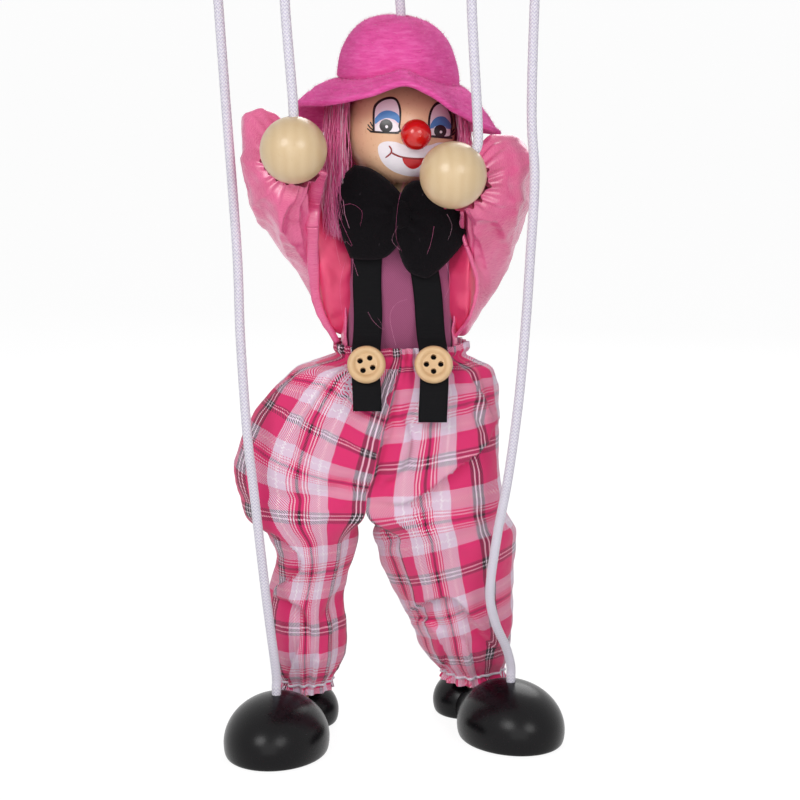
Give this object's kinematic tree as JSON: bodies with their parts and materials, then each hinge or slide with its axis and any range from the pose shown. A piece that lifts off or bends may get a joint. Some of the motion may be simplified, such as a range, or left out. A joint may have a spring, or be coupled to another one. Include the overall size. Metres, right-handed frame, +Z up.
{
  "type": "clown marionette",
  "caption": "Cloth-dressed wooden clown marionette with jointed limbs, hung by cords from a crossed wooden control.",
  "frame": {"origin": "centre of the hang hole in the control's main bar", "axes": "+Z up along the hang hole, the puppet faces -Y, +X is the puppet's left"},
  "size_m": [0.1209, 0.1071, 0.3161],
  "materials": {
    "control_wood": "clear lacquered pale wood",
    "steel_wire": "bright steel wire",
    "white_cord": "braided white cord",
    "face_paint_wood": "peach paint on wood with a painted clown face",
    "red_lacquer": "gloss red lacquer",
    "pink_fleece": "pink fleece",
    "pink_hair": "pink synthetic hair",
    "limb_wood": "plain wood",
    "mauve_cloth": "mauve woven cloth",
    "pink_satin": "pink satin",
    "black_felt": "black felt",
    "black_ribbon": "black satin ribbon",
    "button_wood": "satin varnished wood",
    "plaid_cloth": "pink, white and black plaid cotton",
    "white_elastic": "white elastic",
    "hand_wood": "clear lacquered pale wood",
    "black_lacquer": "gloss black paint on wood"
  },
  "bodies": {
    "control": {"control_main_bar": "control_wood", "control_hand_bar": "control_wood", "control_leg_bar": "control_wood", "control_screws": "steel_wire", "cord_knots": "white_cord", "head_cord": "white_cord", "right_hand_cord": "white_cord", "left_hand_cord": "white_cord", "right_foot_cord": "white_cord", "left_foot_cord": "white_cord"},
    "trunk": {"torso_block": "limb_wood", "pelvis_block": "limb_wood", "waist_dowel": "limb_wood", "hip_pin": "steel_wire", "shirt": "mauve_cloth", "jacket": "pink_satin", "bow_right_loop": "black_felt", "bow_left_loop": "black_felt", "bow_knot": "black_felt", "right_strap": "black_ribbon", "left_strap": "black_ribbon", "right_button": "button_wood", "left_button": "button_wood", "trouser_seat": "plaid_cloth", "waist_elastic": "white_elastic"},
    "neck": {"neck_post": "limb_wood"},
    "head": {"head_ball": "face_paint_wood", "nose": "red_lacquer", "hat_crown": "pink_fleece", "hat_brim": "pink_fleece", "hair": "pink_hair", "neck_pin": "steel_wire"},
    "right_upper_arm": {"right_upper_arm": "limb_wood", "right_elbow_pin": "steel_wire", "right_sleeve": "pink_satin"},
    "right_forearm": {"right_forearm": "limb_wood", "right_hand": "hand_wood"},
    "right_thigh": {"right_thigh": "limb_wood", "right_knee_pin": "steel_wire", "right_trouser_leg": "plaid_cloth"},
    "right_shin": {"right_shin": "limb_wood", "right_cuff_elastic": "white_elastic"},
    "right_foot": {"right_shoe": "black_lacquer", "right_ankle_pin": "steel_wire"},
    "left_upper_arm": {"left_upper_arm": "limb_wood", "left_elbow_pin": "steel_wire", "left_sleeve": "pink_satin"},
    "left_forearm": {"left_forearm": "limb_wood", "left_hand": "hand_wood"},
    "left_thigh": {"left_thigh": "limb_wood", "left_knee_pin": "steel_wire", "left_trouser_leg": "plaid_cloth"},
    "left_shin": {"left_shin": "limb_wood", "left_cuff_elastic": "white_elastic"},
    "left_foot": {"left_shoe": "black_lacquer", "left_ankle_pin": "steel_wire"}
  },
  "joints": [
    {"name": "control_rock", "type": "hinge", "parent": "control", "child": "trunk", "pos_m": [0, -0.048, -0.003], "axis": [0, 1, 0], "range_deg": [-8, 8], "deforming": ["head_cord", "right_hand_cord", "left_hand_cord", "right_foot_cord", "left_foot_cord"]},
    {"name": "head_turn", "type": "hinge", "parent": "trunk", "child": "neck", "pos_m": [0.008, -0.05, -0.126], "axis": [0, 0, 1], "range_deg": [-15, 15]},
    {"name": "head_nod", "type": "hinge", "parent": "neck", "child": "head", "pos_m": [0.008, -0.05, -0.105], "axis": [0.9659, 0.2588, 0], "range_deg": [-10, 1]},
    {"name": "right_shoulder", "type": "hinge", "parent": "trunk", "child": "right_upper_arm", "pos_m": [-0.008, -0.05, -0.132], "axis": [1, 0, 0], "range_deg": [-7, 7], "deforming": ["right_sleeve"]},
    {"name": "right_elbow", "type": "hinge", "parent": "right_upper_arm", "child": "right_forearm", "pos_m": [-0.026, -0.05, -0.132], "axis": [0, 0, 1], "range_deg": [-12, 8]},
    {"name": "right_hip", "type": "hinge", "parent": "trunk", "child": "right_thigh", "pos_m": [-0.005, -0.05, -0.192], "axis": [1, 0, 0], "range_deg": [-35, 15], "deforming": ["right_trouser_leg", "trouser_seat"]},
    {"name": "right_knee", "type": "hinge", "parent": "right_thigh", "child": "right_shin", "pos_m": [-0.016, -0.045, -0.244], "axis": [1, 0, 0], "range_deg": [0, 45], "deforming": ["right_cuff_elastic"]},
    {"name": "right_ankle", "type": "hinge", "parent": "right_shin", "child": "right_foot", "pos_m": [-0.02655, -0.03528, -0.3], "axis": [0.9659, -0.2588, 0], "range_deg": [-12, 12]},
    {"name": "left_shoulder", "type": "hinge", "parent": "trunk", "child": "left_upper_arm", "pos_m": [0.024, -0.05, -0.132], "axis": [1, 0, 0], "range_deg": [-7, 7], "deforming": ["left_sleeve"]},
    {"name": "left_elbow", "type": "hinge", "parent": "left_upper_arm", "child": "left_forearm", "pos_m": [0.038, -0.05, -0.132], "axis": [0, 0, 1], "range_deg": [-2, 12]},
    {"name": "left_hip", "type": "hinge", "parent": "trunk", "child": "left_thigh", "pos_m": [0.021, -0.05, -0.192], "axis": [1, 0, 0], "range_deg": [-35, 15], "deforming": ["left_trouser_leg"]},
    {"name": "left_knee", "type": "hinge", "parent": "left_thigh", "child": "left_shin", "pos_m": [0.028, -0.04, -0.244], "axis": [1, 0, 0], "range_deg": [0, 45], "deforming": ["left_cuff_elastic"]},
    {"name": "left_ankle", "type": "hinge", "parent": "left_shin", "child": "left_foot", "pos_m": [0.03456, -0.02351, -0.3], "axis": [0.891, 0.454, 0], "range_deg": [-12, 12]}
  ],
  "couplings": [
    {"joint": "right_shoulder", "follows": "control_rock", "ratio": 0.8},
    {"joint": "left_shoulder", "follows": "control_rock", "ratio": -0.8}
  ]
}
